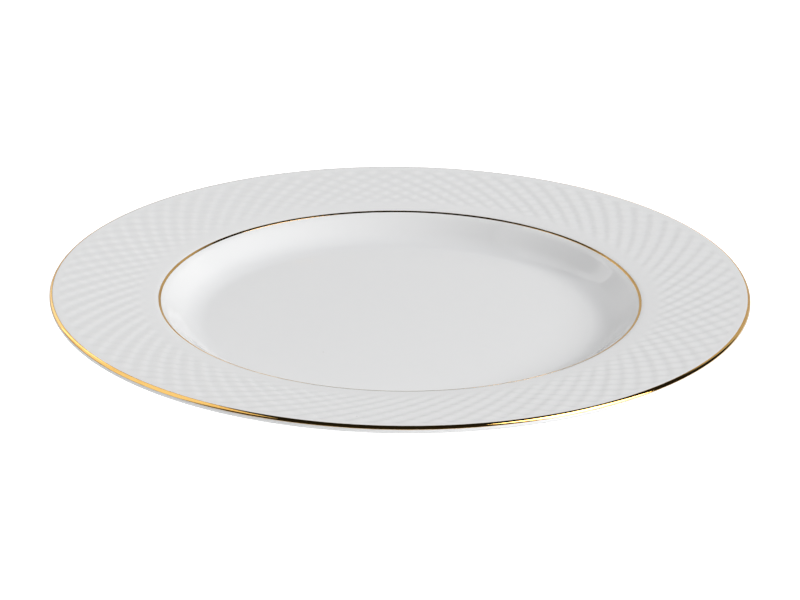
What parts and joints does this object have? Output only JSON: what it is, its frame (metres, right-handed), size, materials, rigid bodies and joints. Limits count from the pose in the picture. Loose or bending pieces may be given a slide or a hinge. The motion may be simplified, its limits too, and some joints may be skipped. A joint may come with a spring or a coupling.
{
  "type": "dinner plate",
  "caption": "Round china dinner plate with a broad rim moulded in crossing curved ribs, a gold band round the lip and a thin gold line at the head of the well.",
  "frame": {"origin": "on the axis of turning, in the plane that the plate stands on", "axes": "+Z along the axis of turning, up out of the well; X and Y are any two radii at right angles"},
  "size_m": [0.27, 0.27, 0.0214],
  "materials": {
    "porcelain": "bare fired porcelain, fine and matte",
    "glaze": "high gloss white glaze",
    "gilding": "burnished fired gold"
  },
  "bodies": {
    "root": {"porcelain_body": "porcelain", "face_glaze": "glaze", "recess_glaze": "glaze", "gold_edge_band": "gilding", "gold_well_line": "gilding"}
  },
  "joints": []
}
